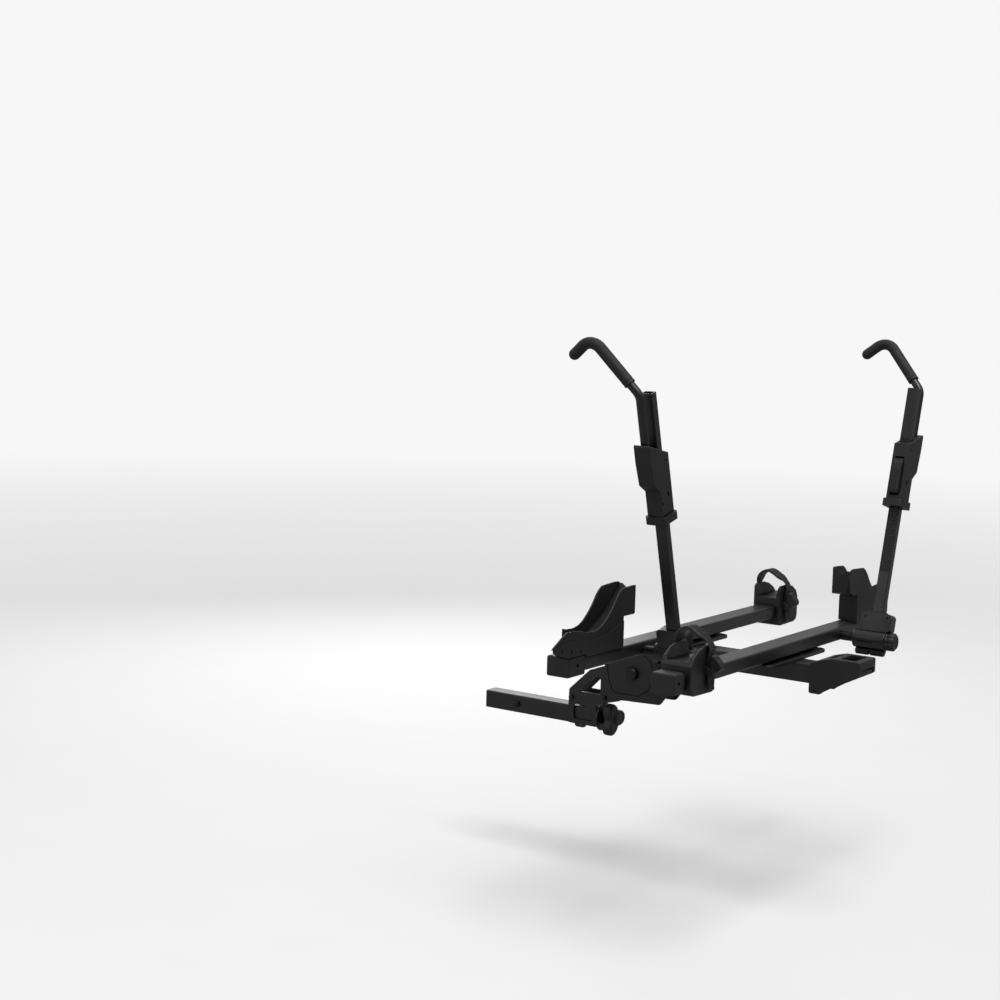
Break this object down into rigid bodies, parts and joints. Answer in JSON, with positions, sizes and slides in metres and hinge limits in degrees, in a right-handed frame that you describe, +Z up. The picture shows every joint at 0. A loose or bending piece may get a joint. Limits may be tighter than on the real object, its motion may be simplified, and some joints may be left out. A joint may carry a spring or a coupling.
{
  "type": "hitch mounted bike rack",
  "caption": "Tilting platform bike rack for a square hitch receiver, with staggered wheel trays and folding ratchet hook arms.",
  "frame": {"origin": "on the stinger's centre line at the retaining button that snaps into the receiver's pin hole", "axes": "+Y along the stinger into the receiver, towards the vehicle; +X to the vehicle's right; +Z up. The platform is level, its deployed position."},
  "size_m": [1.4326, 1.174, 1.1248],
  "materials": {
    "powder_coat": "satin powder coat",
    "moulded_plastic": "fine moulded grain",
    "hook_rubber": "soft matte rubber",
    "strap": "ribbed flexible strap",
    "zinc_steel": "zinc-plated steel",
    "spring_steel": "plain spring steel",
    "bearing_plastic": "smooth bearing plastic"
  },
  "bodies": {
    "hitch_base": {"stinger": "powder_coat", "base_plate_left": "powder_coat", "base_plate_right": "powder_coat", "stinger_end_plate": "powder_coat", "base_bolts": "zinc_steel", "pivot_bolt": "zinc_steel", "button_spring": "spring_steel"},
    "knob": {"hitch_knob": "moulded_plastic", "knob_collar": "zinc_steel", "draw_rod": "zinc_steel"},
    "wedge_nut": {"wedge_nut": "zinc_steel"},
    "wedge_shoe": {"wedge_shoe": "zinc_steel"},
    "hitch_button": {"hitch_button": "zinc_steel"},
    "platform": {"spine": "powder_coat", "side_plate_left": "powder_coat", "side_plate_right": "powder_coat", "pivot_cover_left": "moulded_plastic", "pivot_cover_right": "moulded_plastic", "pivot_bushes": "bearing_plastic", "linkage_pins": "zinc_steel", "pawl_spring": "spring_steel", "rod_guides": "bearing_plastic", "handle_housing": "moulded_plastic", "outer_bar": "powder_coat", "inner_bar": "powder_coat", "bar_end_caps": "moulded_plastic", "outer_wing_plate": "powder_coat", "inner_wing_plate": "powder_coat", "bar_bolts": "zinc_steel", "outer_front_cup": "moulded_plastic", "inner_front_cup": "moulded_plastic", "cup_screws": "zinc_steel", "arm_shafts": "zinc_steel"},
    "tilt_lever": {"tilt_lever": "moulded_plastic"},
    "push_rod": {"push_rod": "zinc_steel"},
    "lock_pawl": {"lock_pawl": "zinc_steel"},
    "outer_cradle": {"outer_rear_cup": "moulded_plastic", "outer_rear_strap": "strap"},
    "outer_buckle": {"outer_buckle": "moulded_plastic"},
    "outer_arm": {"outer_arm_shoe": "powder_coat", "outer_mast": "powder_coat", "outer_end_knob": "moulded_plastic"},
    "outer_lock": {"outer_lock_core": "zinc_steel"},
    "outer_fold_latch": {"outer_fold_latch": "moulded_plastic"},
    "outer_slider": {"outer_slider": "moulded_plastic", "outer_hook_bar": "powder_coat", "outer_hook_sleeve": "hook_rubber"},
    "outer_release": {"outer_release_lever": "moulded_plastic"},
    "inner_cradle": {"inner_rear_cup": "moulded_plastic", "inner_rear_strap": "strap"},
    "inner_buckle": {"inner_buckle": "moulded_plastic"},
    "inner_arm": {"inner_arm_shoe": "powder_coat", "inner_mast": "powder_coat", "inner_end_knob": "moulded_plastic"},
    "inner_lock": {"inner_lock_core": "zinc_steel"},
    "inner_fold_latch": {"inner_fold_latch": "moulded_plastic"},
    "inner_slider": {"inner_slider": "moulded_plastic", "inner_hook_bar": "powder_coat", "inner_hook_sleeve": "hook_rubber"},
    "inner_release": {"inner_release_lever": "moulded_plastic"}
  },
  "joints": [
    {"name": "knob_turn", "type": "hinge", "parent": "hitch_base", "child": "knob", "pos_m": [0, -0.29, 0], "axis": [0, 1, 0], "range_deg": [0, 1080]},
    {"name": "wedge_nut_slide", "type": "slide", "parent": "hitch_base", "child": "wedge_nut", "axis": [0, 1, 0], "range_m": [0, 0.006]},
    {"name": "wedge_shoe_slide", "type": "slide", "parent": "hitch_base", "child": "wedge_shoe", "axis": [0, 0, -1], "range_m": [0, 0.002]},
    {"name": "button_press", "type": "slide", "parent": "hitch_base", "child": "hitch_button", "axis": [1, 0, 0], "range_m": [0, 0.007], "stiffness_N_per_m": 600, "deforming": ["button_spring"]},
    {"name": "platform_tilt", "type": "hinge", "parent": "hitch_base", "child": "platform", "pos_m": [0, -0.398, 0.149], "axis": [-1, 0, 0], "range_deg": [-30, 90], "stiffness_Nm_per_rad": 40000},
    {"name": "lever_squeeze", "type": "hinge", "parent": "platform", "child": "tilt_lever", "pos_m": [0, -0.945, 0.182], "axis": [-1, 0, 0], "range_deg": [-14, 0], "stiffness_Nm_per_rad": 20},
    {"name": "push_rod_slide", "type": "slide", "parent": "platform", "child": "push_rod", "axis": [0, 1, 0], "range_m": [-0.008, 0]},
    {"name": "pawl_swing", "type": "hinge", "parent": "platform", "child": "lock_pawl", "pos_m": [0, -0.452, 0.178], "axis": [-1, 0, 0], "range_deg": [-12, 0]},
    {"name": "outer_cradle_slide", "type": "slide", "parent": "platform", "child": "outer_cradle", "axis": [1, 0, 0], "range_m": [-0.015, 0.15]},
    {"name": "outer_buckle_flip", "type": "hinge", "parent": "outer_cradle", "child": "outer_buckle", "pos_m": [-0.498, -0.889, 0.2915], "axis": [1, 0, 0], "range_deg": [0, 70], "stiffness_Nm_per_rad": 2},
    {"name": "outer_arm_fold", "type": "hinge", "parent": "platform", "child": "outer_arm", "pos_m": [0.281, -0.9, 0.2705], "axis": [0, 1, 0], "range_deg": [-92, 35], "stiffness_Nm_per_rad": 3000},
    {"name": "outer_lock_turn", "type": "hinge", "parent": "outer_arm", "child": "outer_lock", "pos_m": [0.281, -1.01, 0.2705], "axis": [0, -1, 0], "range_deg": [0, 90]},
    {"name": "outer_fold_latch_slide", "type": "slide", "parent": "outer_arm", "child": "outer_fold_latch", "axis": [0, -1, 0], "range_m": [0, 0.006], "stiffness_N_per_m": 300},
    {"name": "outer_hook_slide", "type": "slide", "parent": "outer_arm", "child": "outer_slider", "axis": [0.2639, 0, 0.9646], "range_m": [-0.24, 0.06], "stiffness_N_per_m": 20000},
    {"name": "outer_release_squeeze", "type": "hinge", "parent": "outer_slider", "child": "outer_release", "pos_m": [0.38705, -0.958, 0.73394], "axis": [0, 1, 0], "range_deg": [0, 12], "stiffness_Nm_per_rad": 2},
    {"name": "inner_cradle_slide", "type": "slide", "parent": "platform", "child": "inner_cradle", "axis": [-1, 0, 0], "range_m": [-0.015, 0.15]},
    {"name": "inner_buckle_flip", "type": "hinge", "parent": "inner_cradle", "child": "inner_buckle", "pos_m": [0.498, -0.594, 0.2915], "axis": [1, 0, 0], "range_deg": [0, 70], "stiffness_Nm_per_rad": 2},
    {"name": "inner_arm_fold", "type": "hinge", "parent": "platform", "child": "inner_arm", "pos_m": [-0.281, -0.605, 0.2705], "axis": [0, -1, 0], "range_deg": [-92, 35], "stiffness_Nm_per_rad": 3000},
    {"name": "inner_lock_turn", "type": "hinge", "parent": "inner_arm", "child": "inner_lock", "pos_m": [-0.281, -0.715, 0.2705], "axis": [0, -1, 0], "range_deg": [0, 90]},
    {"name": "inner_fold_latch_slide", "type": "slide", "parent": "inner_arm", "child": "inner_fold_latch", "axis": [0, -1, 0], "range_m": [0, 0.006], "stiffness_N_per_m": 300},
    {"name": "inner_hook_slide", "type": "slide", "parent": "inner_arm", "child": "inner_slider", "axis": [-0.2639, 0, 0.9646], "range_m": [-0.24, 0.06], "stiffness_N_per_m": 20000},
    {"name": "inner_release_squeeze", "type": "hinge", "parent": "inner_slider", "child": "inner_release", "pos_m": [-0.38705, -0.663, 0.73394], "axis": [0, -1, 0], "range_deg": [0, 12], "stiffness_Nm_per_rad": 2}
  ],
  "couplings": [
    {"joint": "wedge_nut_slide", "follows": "knob_turn", "m_per_rad": 0.00031831},
    {"joint": "wedge_shoe_slide", "follows": "knob_turn", "m_per_rad": 0.0001061},
    {"joint": "push_rod_slide", "follows": "lever_squeeze", "m_per_rad": 0.031},
    {"joint": "pawl_swing", "follows": "lever_squeeze", "ratio": 0.8375}
  ]
}
